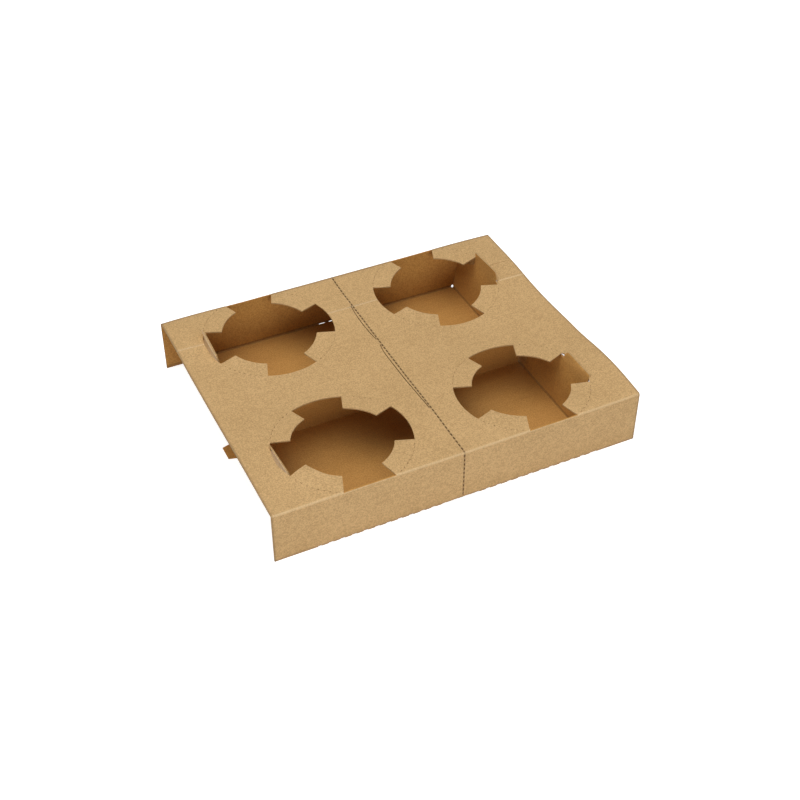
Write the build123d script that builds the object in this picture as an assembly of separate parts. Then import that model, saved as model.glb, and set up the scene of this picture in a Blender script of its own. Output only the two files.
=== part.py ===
"""Carrier for four cups, folded from one die-cut sheet of kraft board.

The sheet makes a flat sleeve: top panel, front wall, floor and rear wall, open
at its left and right ends. The top panel has a notched opening for each cup.
Two end flaps at each end stand up from the floor, and the tongue on each flap
locks in the outer notch of a cup opening. A partition stands up from the floor
on the middle line, between the front and the rear row. The floor's two long
folds are perforated, and so are the hinges of the tabs round the openings. A
tear line across the middle lets the carrier be parted into two halves.

Millimetres. X runs along the length, +Y goes to the rear wall, +Z is up.
The origin is on the floor's underside, in the middle of the carrier.
"""

from build123d import *
from math import degrees, radians, sqrt, tan
import os

# Board
BOARD = 0.8                 # thickness of the sheet
FOLD_RADIUS = 0.4           # inside radius of the folds

# Sleeve, outside sizes
LENGTH = 220.0              # top panel and walls, open end to open end
DEPTH = 177.0               # front wall to rear wall
HEIGHT = 33.0               # underside of the floor to the top of the panel
FLOOR_LENGTH = 171.0        # floor, from the left flaps' fold to the right one

# Cup openings
CUP_PITCH_X = 110.0         # centre to centre along the carrier
CUP_PITCH_Y = 105.8         # centre to centre from row to row
TAB_TIP_RADIUS = 27.8       # circle that the four tabs leave open
TAB_HINGE_RADIUS = 38.6     # circle on which the tabs fold
NOTCH_TIP_WIDTH = 22.8      # gap between two tabs at their tips
NOTCH_HINGE_WIDTH = 30.0    # gap between two tabs at their hinges
WALL_DIP = 0.6              # how far a notch at a fold cuts into the wall

# End flaps and their locking tongues
SIDE_GAP = 0.3              # from a flap's side to the wall or floor tongue
TONGUE_WIDTH = 25.0         # locking tongue on top of a flap
TONGUE_CORNER = 2.0         # rounding of its two corners
FRONT_TONGUE_STAND = 2.5    # how far a front tongue stands out of the top panel
REAR_TONGUE_STAND = 5.5
REAR_TONGUE_SHIFT = 1.6     # from the middle of its notch to the middle of a rear tongue
LOCK_GAP = 0.3              # from the tongue to the arc of its notch
SHOULDER_DROP = 3.8         # flap's shoulders below the top of the panel
SHOULDER_SLOPE = 27.0       # degrees that the shoulders fall to the sides

# Floor tongues between the two flaps of an end, and the partition
FLOOR_TONGUE_WIDTH = 13.5
FLOOR_TONGUE_REACH = 19.0   # beyond the flaps' fold line
FLOOR_TONGUE_TIP = 9.6      # width at the tip
FLOOR_TONGUE_TAPER = 7.0    # length over which it narrows to the tip
PARTITION_GAP = 0.4         # partition's top edge to the panel above it

# Tear line: a row of through cuts, with two bowed slits beside it on the panel
TEAR_CUT = 1.9              # length of one cut
TEAR_BRIDGE = 1.2           # board left between two cuts
TEAR_WIDTH = 0.5
BOW_WIDTH = 0.45
BOW_DEPTH = 2.0             # widest distance from a bowed slit to the tear line
BOW_START = 0.9             # distance at its two ends
BOWS = (                    # front end, widest place and rear end along Y
    (-48.5, 4.5, 15.0),
    (20.5, 39.5, 56.5),
)

# Perforated folds: through cuts along the floor's two long folds. At a cut the
# edges of wall and floor meet square, and the bridges between the cuts bend
# with a flattened corner. Beside the tear line the cuts gape.
FOLD_CUT = 4.0              # length of one cut
FOLD_BRIDGE = 2.7           # fold left between two cuts
FOLD_FLAT = 0.5             # flattened corner of a bridge, along wall and floor
FOLD_SHIFT = -1.1           # middle cut, from the middle of the carrier
GAPING_CUTS = 1             # on each side of the middle cut, which gapes too
GAPE = 0.5

# Round punch in the corner where floor, rear wall and flap meet
RELIEF_RADIUS = 1.2
RELIEF_REACH = 2.0          # from the wall's outside into the flap

# Perforated hinges of the tabs
HINGE_CUT = 1.0             # length of one cut
HINGE_CUT_WIDTH = 0.35
HINGE_CUT_PITCH = 3.2
HINGE_CUTS = 8              # on each tab

# Crease that the floor's fold has pressed into the panel in flat packing
CREASE_WIDTH = 0.5
CREASE_DEPTH = 0.15

RUN_OUT = 2.0               # how far a cutter runs past the board
OUTER_FOLD = FOLD_RADIUS + BOARD
INNER_DEPTH = DEPTH - 2 * BOARD
CUP_CENTRES = [
    (side_x * CUP_PITCH_X / 2, side_y * CUP_PITCH_Y / 2)
    for side_x in (-1, 1)
    for side_y in (-1, 1)
]


def along_length(section, start, end):
    """Extrude a section drawn in YZ along X, from start to end."""
    plane = Plane(origin=(start, 0, 0), x_dir=(0, 1, 0), z_dir=(1, 0, 0))
    return extrude(plane * section, end - start)


def evenly(count, pitch):
    """Middles of a row of equal steps about zero."""
    return [(index - (count - 1) / 2) * pitch for index in range(count)]


def fitting(length, cut, bridge):
    """Middles of the cuts of a perforation that fit in a length."""
    pitch = cut + bridge
    return evenly(int((length + bridge) / pitch), pitch)


def outer_section():
    """Outline of panel and walls with the two top folds, down to the ground."""
    folded = RectangleRounded(DEPTH, 2 * HEIGHT, OUTER_FOLD)
    return folded & Pos(0, HEIGHT / 2) * Rectangle(DEPTH, HEIGHT)


def sleeve_section():
    """Closed section through the floor."""
    inside = RectangleRounded(INNER_DEPTH, HEIGHT - 2 * BOARD, FOLD_RADIUS)
    return outer_section() - Pos(0, HEIGHT / 2) * inside


def arch_section():
    """Section past the floor's ends: the panel and two walls cut off square."""
    return outer_section() - RectangleRounded(INNER_DEPTH, 2 * (HEIGHT - BOARD), FOLD_RADIUS)


def sleeve():
    """Top panel, walls and floor."""
    floor_end = FLOOR_LENGTH / 2
    body = along_length(sleeve_section(), -floor_end, floor_end)
    body += along_length(arch_section(), -LENGTH / 2, -floor_end)
    body += along_length(arch_section(), floor_end, LENGTH / 2)
    return body


def notch(direction):
    """Gap between two tabs: it flares outwards to an arc on the hinge circle."""
    tip = NOTCH_TIP_WIDTH / 2
    hinge = NOTCH_HINGE_WIDTH / 2
    tip_x = sqrt(TAB_TIP_RADIUS**2 - tip**2)
    hinge_x = sqrt(TAB_HINGE_RADIUS**2 - hinge**2)
    arc = ThreePointArc((hinge_x, -hinge), (TAB_HINGE_RADIUS, 0), (hinge_x, hinge))
    sides = Polyline((hinge_x, hinge), (tip_x, tip), (tip_x, -tip), (hinge_x, -hinge))
    return Rot(0, 0, direction) * make_face(arc.edges() + sides.edges())


def opening_outline():
    """Round cup opening with a notch on each of its four sides."""
    outline = Circle(TAB_TIP_RADIUS)
    for direction in (0, 90, 180, 270):
        outline += notch(direction)
    return outline


def opening_cutter():
    """The four cup openings, stopped at the inside of the walls."""
    outlines = Sketch() + [Pos(x, y) * opening_outline() for x, y in CUP_CENTRES]
    outlines &= Rectangle(LENGTH, INNER_DEPTH)
    return Pos(0, 0, HEIGHT - BOARD - RUN_OUT) * extrude(outlines, BOARD + 2 * RUN_OUT)


def wall_dips():
    """Where a notch meets a fold, the wall's top edge is cut a little lower."""
    height = WALL_DIP + RUN_OUT
    step = Box(NOTCH_HINGE_WIDTH, BOARD + RUN_OUT, height)
    y = INNER_DEPTH / 2 + (BOARD + RUN_OUT) / 2
    z = HEIGHT - WALL_DIP + height / 2
    return [
        Pos(side_x * CUP_PITCH_X / 2, side_y * y, z) * step
        for side_x in (-1, 1)
        for side_y in (-1, 1)
    ]


def flap_outline(stand, shift):
    """End view of a rear flap: its shoulders fall away from the tongue."""
    inner = FLOOR_TONGUE_WIDTH / 2 + SIDE_GAP
    outer = INNER_DEPTH / 2 - SIDE_GAP
    left = CUP_PITCH_Y / 2 + shift - TONGUE_WIDTH / 2
    right = left + TONGUE_WIDTH
    shoulder = HEIGHT - SHOULDER_DROP
    fall = tan(radians(SHOULDER_SLOPE))
    top = HEIGHT + stand
    outline = make_face(
        Polyline(
            (inner, 0),
            (outer, 0),
            (outer, shoulder - (outer - right) * fall),
            (right, shoulder),
            (right, top),
            (left, top),
            (left, shoulder),
            (inner, shoulder - (left - inner) * fall),
            close=True,
        )
    )
    return fillet(outline.vertices().group_by(Axis.Y)[-1], TONGUE_CORNER)


def flap_lean():
    """Run along X over rise, so that the tongue meets the arc of its notch."""
    arc_reach = sqrt(TAB_HINGE_RADIUS**2 - (TONGUE_WIDTH / 2) ** 2)
    outer_face = CUP_PITCH_X / 2 + arc_reach - LOCK_GAP
    run = outer_face - BOARD / 2 - FLOOR_LENGTH / 2
    return run / (HEIGHT - BOARD / 2)


def end_flap(stand, shift=0):
    """Right rear flap, folded up at the floor's end and leaning outwards."""
    fold_x = FLOOR_LENGTH / 2
    middle = BOARD / 2
    rise = HEIGHT + stand + RUN_OUT
    start = (fold_x - RUN_OUT, 0, middle)
    corner = (fold_x, 0, middle)
    end = (fold_x + rise * flap_lean(), 0, middle + rise)
    path = FilletPolyline(start, corner, end, radius=FOLD_RADIUS + middle)
    across = Plane(origin=start, x_dir=(0, 1, 0), z_dir=(1, 0, 0))
    strip = sweep(across * Rectangle(2 * DEPTH, BOARD), path)
    outline = along_length(flap_outline(stand, shift), fold_x - RUN_OUT, LENGTH / 2)
    return strip & outline


def end_flaps():
    """A rear and a front flap at the right end, and their mirror images at the left."""
    front = mirror(end_flap(FRONT_TONGUE_STAND), Plane.XZ)
    right = [front, end_flap(REAR_TONGUE_STAND, REAR_TONGUE_SHIFT)]
    left = [mirror(flap, Plane.YZ) for flap in right]
    return right + left


def floor_tongues():
    """The floor runs on between the two flaps of each end and narrows there."""
    tip = FLOOR_LENGTH / 2 + FLOOR_TONGUE_REACH
    root = tip - FLOOR_TONGUE_TAPER
    side = FLOOR_TONGUE_WIDTH / 2
    tip_side = FLOOR_TONGUE_TIP / 2
    quarter = [(0, side), (root, side), (tip, tip_side), (tip, 0)]
    half = Polyline(*quarter, *[(x, -y) for x, y in quarter[-2::-1]], close=True)
    tongue = extrude(make_face(half), BOARD)
    return [tongue, mirror(tongue, Plane.YZ)]


def partition():
    """Upright strip between the two rows, folded up from the floor."""
    top = HEIGHT - BOARD - PARTITION_GAP
    foot = BOARD / 2
    strip = Pos(0, BOARD / 2, (foot + top) / 2) * Box(FLOOR_LENGTH, BOARD, top - foot)
    corner = Pos(-FOLD_RADIUS / 2, BOARD + FOLD_RADIUS / 2) * Rectangle(FOLD_RADIUS, FOLD_RADIUS)
    fillet_face = corner - Pos(-FOLD_RADIUS, BOARD + FOLD_RADIUS) * Circle(FOLD_RADIUS)
    return strip + along_length(fillet_face, -FLOOR_LENGTH / 2, FLOOR_LENGTH / 2)


def tear_cuts():
    """Through cuts on the middle line of panel, floor, walls and partition."""
    flat_cut = Box(TEAR_WIDTH, TEAR_CUT, BOARD + RUN_OUT)
    upright_cut = Box(TEAR_WIDTH, BOARD + RUN_OUT, TEAR_CUT)
    wall_y = (DEPTH - BOARD) / 2
    flat = [
        Pos(0, y, z) * flat_cut
        for y in fitting(DEPTH - 2 * OUTER_FOLD, TEAR_CUT, TEAR_BRIDGE)
        for z in (BOARD / 2, HEIGHT - BOARD / 2)
    ]
    upright = [
        Pos(0, y, HEIGHT / 2 + z) * upright_cut
        for z in fitting(HEIGHT - 2 * OUTER_FOLD, TEAR_CUT, TEAR_BRIDGE)
        for y in (-wall_y, BOARD / 2, wall_y)
    ]
    return flat + upright


def bowed_slit(front, widest, rear):
    """Slit in the panel that bows away from the tear line and back to it."""
    peak = (-BOW_DEPTH, widest)
    to_front = TangentArc(peak, (-BOW_START, front), tangent=(0, -1))
    to_rear = TangentArc(peak, (-BOW_START, rear), tangent=(0, 1))
    outline = trace([to_front, to_rear], BOW_WIDTH)
    return Pos(0, 0, HEIGHT - BOARD - RUN_OUT) * extrude(outline, BOARD + 2 * RUN_OUT)


def fold_cuts():
    """Places along X of the cuts in the floor's two long folds."""
    length = FLOOR_LENGTH - 2 * abs(FOLD_SHIFT)
    return [x + FOLD_SHIFT for x in fitting(length, FOLD_CUT, FOLD_BRIDGE)]


def bridge_flats():
    """Wedges off the outer corner of the fold, between the cuts."""
    floor_end = FLOOR_LENGTH / 2
    wall_y = DEPTH / 2
    section = make_face(
        Polyline((wall_y, 0), (wall_y - FOLD_FLAT, 0), (wall_y, FOLD_FLAT), close=True)
    )
    cut = Box(FOLD_CUT, RUN_OUT + FOLD_FLAT, RUN_OUT + FOLD_FLAT)
    rear = along_length(section, -floor_end, floor_end)
    rear -= [Pos(x, wall_y, 0) * cut for x in fold_cuts()]
    return [rear, mirror(rear, Plane.XZ)]


def gaping_cuts():
    """Slits on the slant of the fold, through to the inside."""
    slit = Box(FOLD_CUT, BOARD + RUN_OUT, GAPE)
    middle = BOARD / 2
    reach = (GAPING_CUTS + 0.5) * (FOLD_CUT + FOLD_BRIDGE)
    return [
        Pos(x, side_y * (DEPTH / 2 - middle), middle) * Rot(side_y * -45, 0, 0) * slit
        for x in fold_cuts()
        for side_y in (-1, 1)
        if abs(x - FOLD_SHIFT) < reach
    ]


def reliefs():
    """Round punches at the floor's two rear corners."""
    punch = Rot(90, 0, 0) * Cylinder(RELIEF_RADIUS, RELIEF_REACH + RUN_OUT)
    x = FLOOR_LENGTH / 2
    y = DEPTH / 2 - (RELIEF_REACH - RUN_OUT) / 2
    return [Pos(side_x * x, y, BOARD) * punch for side_x in (-1, 1)]


def hinge_cuts():
    """Short through cuts on each tab's hinge, between the notches beside it."""
    cut = Pos(TAB_HINGE_RADIUS, 0, HEIGHT) * Box(HINGE_CUT_WIDTH, HINGE_CUT, 2 * BOARD + RUN_OUT)
    step = degrees(HINGE_CUT_PITCH / TAB_HINGE_RADIUS)
    return [
        Pos(x, y) * Rot(0, 0, diagonal + angle) * cut
        for x, y in CUP_CENTRES
        for diagonal in (45, 135, 225, 315)
        for angle in evenly(HINGE_CUTS, step)
    ]


def packing_crease():
    """Groove across the panel, one wall's height from the rear fold."""
    y = DEPTH / 2 - HEIGHT
    z = HEIGHT - CREASE_DEPTH + RUN_OUT / 2
    return Pos(0, y, z) * Box(LENGTH + RUN_OUT, CREASE_WIDTH, RUN_OUT)


def carrier():
    """The whole folded sheet as one solid."""
    body = sleeve()
    body -= opening_cutter()
    body -= wall_dips()
    body -= hinge_cuts()
    body -= packing_crease()
    body += floor_tongues()
    body += partition()
    body += end_flaps()
    body -= tear_cuts()
    body -= [bowed_slit(*bow) for bow in BOWS]
    body -= bridge_flats()
    body -= gaping_cuts()
    body -= reliefs()
    return body


os.makedirs("parts", exist_ok=True)
export_step(carrier(), "parts/carrier.step")
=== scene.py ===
import math

import bmesh
import bpy
from mathutils import Matrix, Vector


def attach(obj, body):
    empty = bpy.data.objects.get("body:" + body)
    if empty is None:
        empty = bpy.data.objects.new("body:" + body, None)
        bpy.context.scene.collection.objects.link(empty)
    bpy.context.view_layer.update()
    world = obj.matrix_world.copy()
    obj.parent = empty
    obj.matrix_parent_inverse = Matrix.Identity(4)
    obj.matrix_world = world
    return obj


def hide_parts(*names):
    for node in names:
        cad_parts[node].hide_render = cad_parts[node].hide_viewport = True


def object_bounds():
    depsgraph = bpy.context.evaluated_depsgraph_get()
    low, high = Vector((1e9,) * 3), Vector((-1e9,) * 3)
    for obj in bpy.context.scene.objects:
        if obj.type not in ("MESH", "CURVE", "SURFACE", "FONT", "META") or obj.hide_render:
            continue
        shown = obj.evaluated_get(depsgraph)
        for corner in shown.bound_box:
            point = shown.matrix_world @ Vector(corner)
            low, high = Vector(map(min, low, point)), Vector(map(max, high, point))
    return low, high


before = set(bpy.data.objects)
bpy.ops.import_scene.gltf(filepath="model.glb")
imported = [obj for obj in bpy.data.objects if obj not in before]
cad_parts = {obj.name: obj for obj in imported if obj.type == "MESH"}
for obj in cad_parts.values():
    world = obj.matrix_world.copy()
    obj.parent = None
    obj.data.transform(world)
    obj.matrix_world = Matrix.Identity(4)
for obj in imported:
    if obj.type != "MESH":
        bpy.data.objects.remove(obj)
cad_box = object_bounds()


# Kraft board
# The carrier is one sheet of solid unbleached board, brown right through. Loose
# fibres and small flecks give both faces a fine grain, and the die leaves a cut
# edge that is rougher and a little darker than the faces.

class Shade:
    """A node's output; sums and products with it add the Math nodes."""

    def __init__(self, tree, socket=None):
        self.tree = tree
        self.socket = socket

    def node(self, kind, settings=None, sockets=None, output=0):
        """A node in this tree: its settings go in first, then its sockets."""
        made = self.tree.nodes.new(kind)
        for name, value in (settings or {}).items():
            setattr(made, name, value)
        for name, value in (sockets or {}).items():
            if isinstance(value, Shade):
                self.tree.links.new(value.socket, made.inputs[name])
            else:
                made.inputs[name].default_value = value
        return Shade(self.tree, made.outputs[output])

    def math(self, operation, first, second=0.0):
        sockets = {0: first, 1: second}
        return self.node("ShaderNodeMath", {"operation": operation}, sockets)

    def __add__(self, other):
        return self.math("ADD", self, other)

    def __sub__(self, other):
        return self.math("SUBTRACT", self, other)

    def __rsub__(self, other):
        return self.math("SUBTRACT", other, self)

    def __mul__(self, other):
        return self.math("MULTIPLY", self, other)

    def __gt__(self, other):
        return self.math("GREATER_THAN", self, other)

    def __lt__(self, other):
        return self.math("LESS_THAN", self, other)

    def __abs__(self):
        return self.math("ABSOLUTE", self)

    __radd__ = __add__
    __rmul__ = __mul__

    def grain(self, size, detail=2.0, roughness=0.5):
        """Noise from 0 to 1 at these places, its patches about that size in metres."""
        sockets = {
            "Vector": self, "Scale": 1.0 / size, "Detail": detail, "Roughness": roughness
        }
        return self.node("ShaderNodeTexNoise", {}, sockets, "Fac")

    def between(self, low, high):
        """0 at low and 1 at high, eased, and held outside."""
        eased = {"interpolation_type": "SMOOTHSTEP"}
        sockets = {"Value": self, "From Min": low, "From Max": high}
        return self.node("ShaderNodeMapRange", eased, sockets)

    def along(self, axis):
        """One of the three coordinates of a place."""
        return self.node("ShaderNodeSeparateXYZ", {}, {"Vector": self}, axis)

    def tint(self, first, second):
        """Colour from first to second, by this amount."""
        # a Mix node's colour inputs are numbers 6 and 7, and its colour output is 2
        sockets = {"Factor": self, 6: first, 7: second}
        return self.node("ShaderNodeMix", {"data_type": "RGBA"}, sockets, 2)

    def feed(self, shader, name):
        self.tree.links.new(self.socket, shader.inputs[name])


cloud_size = 0.030
mottle_size = 0.0025
fibre_size = 0.0008
fleck_size = 0.0009
cloud_share, mottle_share, fibre_share = 0.10, 0.12, 0.78
lightness_range = (0.39, 0.61)
fleck_range = (0.62, 0.72)
fleck_strength = 0.5
tooth_height = 0.0001
fibre_dullness = 0.15
board_specular = 0.45


def board(name, paper, pale, fleck, roughness, tooth, marks):
    """A board material: cloudy paper, pale fibres, dark flecks and a fine tooth.

    The grain lies in the flat sheet's own places, so it bends with the board.
    """
    material = bpy.data.materials.new(name)
    material.use_nodes = True
    tree = material.node_tree
    shader = tree.nodes["Principled BSDF"]
    sheet_place = {"attribute_name": "sheet_place"}
    place = Shade(tree).node("ShaderNodeAttribute", sheet_place, output="Vector")
    stretch = {0: place, 1: (0.5, 1.0, 1.0)}
    laid = place.node("ShaderNodeVectorMath", {"operation": "MULTIPLY"}, stretch)
    clouds = place.grain(cloud_size, 3.0)
    mottle = laid.grain(mottle_size, 2.0, 0.6)
    fibres = place.grain(fibre_size, 3.0, 0.75)
    flecks = place.grain(fleck_size, 2.0, 0.6).between(*fleck_range) * fleck_strength
    lightness = clouds * cloud_share + mottle * mottle_share + fibres * fibre_share
    surface = lightness.between(*lightness_range).tint(paper, pale)
    surface = marks(place, flecks.tint(surface, fleck))
    height = mottle * 0.4 + fibres * 0.6
    relief = {"Strength": tooth, "Distance": tooth_height, "Height": height}
    surface.feed(shader, "Base Color")
    (roughness + fibre_dullness * fibres).feed(shader, "Roughness")
    height.node("ShaderNodeBump", {}, relief).feed(shader, "Normal")
    shader.inputs["Specular IOR Level"].default_value = board_specular
    return material


# Marks of folding, and painted light and shade
# Where the sheet is folded or was folded flat for packing, the stretched fibres
# show as a pale line, with a painted highlight on the top folds; the teeth of the die
# leave dark, crushed lips at each cut, deepened with painted shade. The tongues carry a
# painted highlight, and painted shade darkens the sheet's ends, its rear fold, the foot of
# its walls, the floor's folds and cut edges.

half_length = cad_box[1][0]
half_depth = cad_box[1][1]
panel_top = 0.033
# a pale fibre colour, also used for painted highlights, and a dark crushed fibre colour,
# also used for painted shade
stretched_fibre_and_highlight = (0.76, 0.57, 0.33, 1)
crushed_fibre_and_shade = (0.12, 0.062, 0.022, 1)

# the top folds' pale line, partly stretched fibre and partly painted highlight
top_fold_y = half_depth - 0.0003
fold_line_width = 0.0006
fold_pale_and_highlight = 0.4

rear_crease_y = half_depth - panel_top
rear_crease_end = 0.085
rear_crease_paleness = 0.75
right_crease_y = 0.041
right_crease_start = half_length - 0.017
right_crease_paleness = 0.6
crease_line_width = 0.0008

# the tear line's dark lips, partly crushed fibre and partly painted shade
tear_line_width = 0.00075
tear_foot = 0.003
tear_pitch = 0.0031
tear_fold = 0.0016
tear_darkness, tooth_darkness = 0.25, 0.55

tongue_start = 0.088
# how dark the painted shade is at the sheet's ends, its rear fold and the foot of its
# walls
end_shade, rear_fold_shade, foot_shade = 0.45, 0.5, 0.4

floor_fold_x = 0.0856
floor_fold_width = 0.0012
floor_fold_top = 0.0022
# how dark the painted shade is in the floor's folds and on the right-hand tongues' inner
# faces
fold_shade_darkness = 0.4
inner_tongue_shade_start = 0.086
inner_tongue_shade_darkness = 0.16

slit_reach = 0.004
# how dark the painted shade is on the cut edges at the slits and at the panel's ends
slit_shade, panel_end_shade = 0.85, 0.6


def line(distance, width):
    """1 on a line and 0 from its width on, by the distance from it."""
    return 1.0 - abs(distance).between(width * 0.35, width)


def folding_marks_and_painted_light(place, surface):
    x, y, z = (place.along(axis) for axis in range(3))
    # the two top folds: a pale line, partly stretched fibre and partly painted highlight
    fold = line(abs(y) - top_fold_y, fold_line_width) * (z > panel_top - 0.0012)
    # the packing creases across the panel
    rear_crease = line(y - rear_crease_y, crease_line_width) * (x < rear_crease_end)
    right_crease = line(y - right_crease_y, crease_line_width) * (x > right_crease_start)
    crease = rear_crease * rear_crease_paleness + right_crease * right_crease_paleness
    crease = crease * (z > panel_top - 0.001)
    frayed = 0.45 + place.grain(0.0025, 2.0) * 0.9
    surface = ((fold * fold_pale_and_highlight + crease) * frayed).tint(surface, stretched_fibre_and_highlight)
    # the lips of the tear line across the panel and down both walls: partly dark crushed
    # fibre, partly painted shade of its gaps and teeth
    down_wall = abs(y) > half_depth - tear_fold
    along = y * (1.0 - down_wall) + (z - panel_top * 0.5) * down_wall
    wave = place.math("COSINE", along * (math.tau / tear_pitch))
    teeth = (0.5 - wave * 0.5).between(0.2, 0.6)
    tear = line(x, tear_line_width) * (z > tear_foot)
    tear = tear * (tear_darkness + tooth_darkness * teeth)
    surface = tear.tint(surface, crushed_fibre_and_shade)
    # painted highlight: the tongues' outer faces above the panel are painted pale
    tongue = (z > panel_top + 0.0003) * (abs(x) > tongue_start)
    surface = tongue.tint(surface, stretched_fibre_and_highlight)
    # painted shade along the sheet's ends, its rear fold and the foot of its walls
    ends = abs(x).between(half_length - 0.0013, half_length - 0.0004)
    rear_fold = y.between(half_depth - 0.0026, half_depth - 0.0014)
    rear_fold = rear_fold * (z > panel_top - 0.002)
    foot = (1.0 - z.between(0.0004, 0.0016)) * (abs(y) > half_depth - 0.001)
    painted_shade = ends * end_shade + rear_fold * rear_fold_shade + foot * foot_shade
    return painted_shade.tint(surface, crushed_fibre_and_shade)


def inner_painted_shade(place, surface):
    x, y, z = (place.along(axis) for axis in range(3))
    # painted shade in the folds round the floor
    wall_fold = abs(y).between(half_depth - 0.0022, half_depth - 0.0012)
    flap_fold = line(abs(x) - floor_fold_x, floor_fold_width)
    shaded_folds = (wall_fold + flap_fold) * (z < floor_fold_top)
    # painted shade on the right-hand tongues' inner faces, darker towards their tops
    inner_tongue_shade = z.between(0.022, 0.033) * (x > inner_tongue_shade_start)
    painted_shade = shaded_folds * fold_shade_darkness + inner_tongue_shade * inner_tongue_shade_darkness
    return painted_shade.tint(surface, crushed_fibre_and_shade)


def cut_edge_painted_shade(place, surface):
    x = abs(place.along(0))
    # painted shade on the cut edges of the slits beside the tear line, and of the panel's
    # two ends
    slits = (x < slit_reach) * slit_shade
    painted_shade = slits + (x > half_length - 0.0003) * panel_end_shade
    return painted_shade.tint(surface, crushed_fibre_and_shade)


outer_face = board(
    "kraft_outer_face",
    (0.45, 0.275, 0.106, 1), (0.64, 0.412, 0.184, 1), (0.30, 0.165, 0.060, 1),
    0.60, 0.35, folding_marks_and_painted_light
)
# the inner face is the same board, coloured darker and more saturated than the outer face:
# painted shade of the carrier's interior
shaded_inner_face = board(
    "kraft_inner_face_painted_shade",
    (0.42, 0.196, 0.042, 1), (0.57, 0.292, 0.070, 1), (0.29, 0.128, 0.028, 1),
    0.68, 0.35, inner_painted_shade
)
cut_edge = board(
    "kraft_cut_edge",
    (0.40, 0.240, 0.095, 1), (0.52, 0.330, 0.145, 1), (0.26, 0.145, 0.050, 1),
    0.80, 0.8, cut_edge_painted_shade
)


# The folded sheet
# Panel, walls, floor, end flaps and partition are one die-cut sheet, folded and
# locked by the tongues on its end flaps. It is sliced finely here so that it can
# bend as handled board does. All its sizes from here on are in millimetres.

millimetre = 0.001
end_x = 110.0
wall_y = 88.5
corner_y = 87.3
board_top = 33.0
panel_low = board_top - 1.1
flap_high = board_top - 0.9
flap_x = 84.0
cup_x, cup_y = 55.0, 52.9
notch_arc = 38.5

tongue_x = 88.0
tongue_width = 25.0
tongue_reach = 14.2
tongue_foot = board_top - 2.0
tongue_lean = 6.0
rear_tongue_height, front_tongue_height = 5.5, 2.5

partition_y = 0.4
partition_reach = 1.3
partition_foot = 2.0
crease_y = 55.5

panel_step = 5.0
shoulder_step = 1.5
tongue_step = 1.4
# each run of slices: the axis across them, where they start and end, and their step
slices = (
    (0, -end_x, end_x, panel_step),
    (1, -wall_y, wall_y, panel_step),
    (1, 36.5, 42.5, shoulder_step),
    (1, -42.5, -36.5, shoulder_step),
    (2, board_top, board_top + 5.6, tongue_step),
)
# sags and rises of the panel: middle along X and Y, reach along X and Y, and lift
panel_bends = (
    (-55.0, 5.0, 75.0, 50.0, -1.3),
    (62.0, 5.0, 62.0, 52.0, -2.2),
    (-76.0, -44.0, 46.0, 38.0, 1.7),
    (-20.0, -48.0, 40.0, 30.0, 0.8),
    (-55.0, -76.0, 45.0, 16.0, 1.8),
    (55.0, -76.0, 45.0, 16.0, 1.5),
    (-55.0, 76.0, 45.0, 16.0, 1.3),
    (55.0, 76.0, 45.0, 16.0, 0.6),
    (-95.0, 70.0, 40.0, 36.0, 1.6),
    (90.0, 66.0, 40.0, 34.0, 1.5),
    (114.0, -60.0, 38.0, 40.0, 2.7),
    (118.0, 18.0, 32.0, 36.0, -1.2),
    (40.0, 92.0, 190.0, 22.0, 1.0),
    (-82.0, -66.0, 22.0, 14.0, 1.2),
)
# each tongue's run outwards and its share of the straight one's rise, at its end
# towards the camera and at the other end
tongue_bends = {
    ("front", "left"): ((-0.8, 0.4), (0.8, 1.1)),
    ("rear", "left"): ((-0.1, 0.66), (-0.5, 1.0)),
    ("front", "right"): ((1.3, 0.8), (1.2, 0.85)),
    ("rear", "right"): ((-0.7, 1.0), (-1.0, 0.81)),
}


def slice_across(form, axis, start, end, step):
    """Cuts the mesh by parallel planes across an axis."""
    normal = Vector([float(i == axis) for i in range(3)])
    count = max(1, round((end - start) / step))
    for i in range(1, count):
        place = normal * (start + (end - start) * i / count) * millimetre
        everything = form.verts[:] + form.edges[:] + form.faces[:]
        bmesh.ops.bisect_plane(
            form, geom=everything, plane_co=place, plane_no=normal, dist=1e-7
        )


def hump(value, middle, reach):
    """Smooth rise to 1 in the middle, and 0 at its reach and beyond."""
    away = min(1.0, abs(value - middle) / reach)
    return (1.0 - away * away) ** 2


def ease(value, low, high):
    """0 at low and below, 1 at high and above, and smooth between them."""
    share = min(1.0, max(0.0, (value - low) / (high - low)))
    return share * share * (3.0 - 2.0 * share)


def in_tongue(x, y, z):
    """Whether a place is on a tongue: inside its notch, near the sheet's end."""
    across = abs(y) - cup_y
    if z <= tongue_foot or abs(x) <= tongue_x or abs(across) >= tongue_reach:
        return False
    arc = notch_arc + (tongue_lean if z > board_top else 0.0)
    return math.hypot(abs(x) - cup_x, across) < arc


def shoulder_rise(y):
    """How far the right-hand flaps' sloping shoulders reach up beside their tongues."""
    tongue_side = 42.0 if y > 0 else 40.4
    if abs(y) > tongue_side + 0.1:
        # on the tongue's other side only the front flap's shoulder reaches higher
        return 1.3 * ease(-y, 65.3, 66.0) * (y > -67.9)
    straight_edge = 29.2 - 0.51 * max(0.0, tongue_side - abs(y))
    raised_edge = 31.7
    if abs(y) > 37.9:
        raised_edge = board_top if y > 0 else 33.1 - 0.9 * (abs(y) - 37.9)
    return (raised_edge - straight_edge) * ease(abs(y), 24.0, 36.0)


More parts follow.
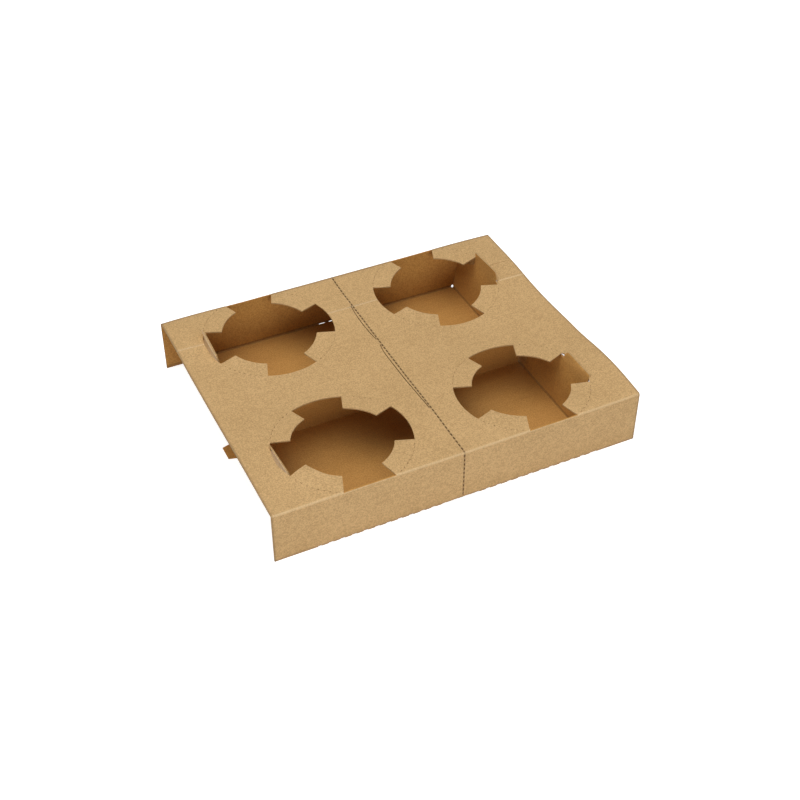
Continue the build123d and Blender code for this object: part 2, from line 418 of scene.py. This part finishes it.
def side_shift(y, z):
    """How far the right-hand tongues' sides move along Y, closer to their notches'."""
    shift = 0.2 * ease(y, -45.0, -40.4)
    if y > 0:
        shift = 0.8 * ease(y, 60.0, 66.0) - 1.3 * ease(-y, -46.0, -42.0)
    # it fades towards the tips, except at the sharp corner
    fade = ease(z, 34.0, 38.0) if y < 60.0 else 0.0
    return shift * ease(z, 24.0, 31.0) * (1.0 - fade)


def bend_tongue(x, y, z):
    """Where its run and rise take a place of a tongue above the panel."""
    rear, right = y > 0, x > 0
    ends = tongue_bends["rear" if rear else "front", "right" if right else "left"]
    (run, rise), (far_run, far_rise) = ends
    share = (y - (cup_y if rear else -cup_y)) / tongue_width + 0.5
    share = min(1.0, max(0.0, share))
    run += (far_run - run) * share
    rise += (far_rise - rise) * share
    height = rear_tongue_height if rear else front_tongue_height
    out = z - board_top
    if rear and right:
        # this tongue's far corner is a sharp one
        out = min(height, out * (1.0 + 0.6 * ease(y, 64.0, 66.8)))
    run *= out / height
    return x + (run if right else -run), y, board_top + out * rise


def bend_sheet(x, y, z):
    """Where the bends take a place of the straight sheet."""
    tongue = in_tongue(x, y, z)
    in_partition = (
        abs(y - partition_y) < partition_reach and partition_foot < z < panel_low
    )
    in_flap = abs(y) < corner_y and z < flap_high and not in_partition
    if x > flap_x and (in_flap or tongue):
        y += side_shift(y, z)
        if in_flap:
            return x, y, z + shoulder_rise(y) * ease(z, 16.0, 26.0)
    if tongue:
        return bend_tongue(x, y, z) if z > board_top else (x, y, z)
    lift = sum(
        height * hump(x, middle_x, reach_x) * hump(y, middle_y, reach_y)
        for middle_x, middle_y, reach_x, reach_y, height in panel_bends
    )
    if abs(y) > corner_y:
        # the lift of a top fold fades down the wall
        return x, y, z + lift * ease(z, 12.0, 32.0)
    if z > panel_low:
        # the right-hand openings sit nearer the middle, and the crease runs askew
        nearer = 0.4 * ease(x, 5.0, 25.0) * (1.0 - ease(x, 95.0, 108.0))
        askew = (3.3 if x < 0 else 1.2) * (x / end_x) ** 2 * hump(y, crease_y, 9.0)
        askew += 1.6 * hump(x, -84.0, 22.0) * hump(y, -66.0, 12.0)
        return x - nearer, y + askew, z + lift
    if in_partition:
        return x, y, z + lift * z / board_top
    return x, y, z


outer, inner, cut = range(3)


def side_of(face):
    """Which side of the board a mesh face is on, by its place and direction."""
    x, y, z = face.center / millimetre
    nx, ny, nz = face.normal
    on_flap = abs(x) > flap_x and abs(y) < 87.5 and 1.0 < z < flap_high
    if in_tongue(x, y, z) or on_flap:
        outward = nx if x > 0 else -nx
        return outer if outward > 0.7 else inner if outward < -0.7 else cut
    outward = y * ny > 0
    if z > 31.7:
        top = nz > 0.9 and z > 32.7
        rounded = abs(y) > corner_y and abs(ny) > 0.02 and nz > -0.02
        if top or (rounded and outward and abs(nx) < 0.1):
            return outer
        return inner if nz < -0.9 or abs(y) > 87.5 else cut
    if abs(nx) > 0.9:
        return cut
    wall = abs(y) > 88.3 and outward
    underside = z < 0.1 and nz < 0
    return outer if wall or underside else inner


sheet_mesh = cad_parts["carrier"].data.copy()
form = bmesh.new()
form.from_mesh(sheet_mesh)
bmesh.ops.remove_doubles(form, verts=form.verts, dist=1e-6)
for run_of_slices in slices:
    slice_across(form, *run_of_slices)
form.to_mesh(sheet_mesh)
form.free()

sheet_mesh.materials.clear()
for material in (outer_face, shaded_inner_face, cut_edge):
    sheet_mesh.materials.append(material)
for face in sheet_mesh.polygons:
    face.material_index = side_of(face)

flat_place = sheet_mesh.attributes.new("sheet_place", "FLOAT_VECTOR", "POINT")
for vertex, flat in zip(sheet_mesh.vertices, flat_place.data):
    place = vertex.co / millimetre
    flat.vector = place * millimetre
    vertex.co = Vector(bend_sheet(*place)) * millimetre
sheet_mesh.update()
sheet_mesh.shade_smooth()
sheet_mesh.set_sharp_from_angle(angle=math.radians(30))
sheet = bpy.data.objects.new("folded_sheet", sheet_mesh)
bpy.context.scene.collection.objects.link(sheet)
even_faces = sheet.modifiers.new("even_faces", "WEIGHTED_NORMAL")
even_faces.keep_sharp = True
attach(sheet, "root")
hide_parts("carrier")


# Table and light
# The carrier stands on a white table under a long soft box, with three lower
# ones from the front round to the left, as in a plain studio.

table_reach = 6.0
table_colour = (0.82, 0.82, 0.82, 1)
table_brightness = 0.70
surround = 0.03


def seen_directly(tree):
    """1 for a ray from the camera, a mirror or clear glass, and 0 for any other."""
    camera_ray, glossy_ray, clear_ray = (
        Shade(tree).node("ShaderNodeLightPath", output=kind)
        for kind in ("Is Camera Ray", "Is Glossy Ray", "Is Transmission Ray")
    )
    return camera_ray + glossy_ray + clear_ray


corners = [(-1, -1), (1, -1), (1, 1), (-1, 1)]
corners = [(x * table_reach, y * table_reach, 0) for x, y in corners]
table_mesh = bpy.data.meshes.new("table")
table_mesh.from_pydata(corners, [], [range(4)])
table_white = bpy.data.materials.new("table_white")
table_white.use_nodes = True
white = table_white.node_tree.nodes["Principled BSDF"]
white.inputs["Base Color"].default_value = table_colour
white.inputs["Roughness"].default_value = 0.9
white.inputs["Specular IOR Level"].default_value = 0.1
white.inputs["Emission Strength"].default_value = 1.0
glow = seen_directly(table_white.node_tree) * table_brightness
glow.feed(white, "Emission Color")
table_mesh.materials.append(table_white)
table = bpy.data.objects.new("table", table_mesh)
bpy.context.scene.collection.objects.link(table)

studio = bpy.data.worlds.new("studio")
studio.use_nodes = True
bpy.context.scene.world = studio
glow = seen_directly(studio.node_tree) * (1.0 - surround) + surround
glow.feed(studio.node_tree.nodes["Background"], "Color")


def soft_box(name, place, width, depth, power):
    """A soft box that faces the carrier."""
    lamp = bpy.data.lights.new(name, "AREA")
    lamp.shape = "RECTANGLE"
    lamp.size = width
    lamp.size_y = depth
    lamp.energy = power
    box = bpy.data.objects.new(name, lamp)
    box.location = place
    box.rotation_euler = Vector(place).to_track_quat("Z", "Y").to_euler()
    bpy.context.scene.collection.objects.link(box)


soft_box("overhead", (-0.1, 0.0, 1.4), 1.0, 2.6, 22.3)
soft_box("front", (0.0, -1.8, 0.62), 0.7, 0.7, 11.2)
soft_box("front_left", (-0.75, -0.75, 0.24), 0.4, 0.4, 1.5)
soft_box("left", (-1.6, 0.0, 0.26), 0.5, 0.5, 3.8)


# Camera
# It looks down on the carrier from the front left, at the photograph's angle and
# from about 0.8 m away.

camera_place = (-0.25803, -0.54059, 0.51185)
heading, tilt, roll = math.radians(-25.923), math.radians(49.569), math.radians(0.180)
camera_data = bpy.data.cameras.new("camera")
camera_data.lens = 60.09
camera_data.sensor_width = 36.0
camera_data.clip_start = 0.01
camera = bpy.data.objects.new("camera", camera_data)
camera.matrix_world = Matrix.Translation(camera_place)
for angle, axis in ((heading, "Z"), (tilt, "X"), (roll, "Z")):
    camera.matrix_world = camera.matrix_world @ Matrix.Rotation(angle, 4, axis)
bpy.context.scene.collection.objects.link(camera)
bpy.context.scene.camera = camera
bpy.context.scene.view_settings.view_transform = "Standard"
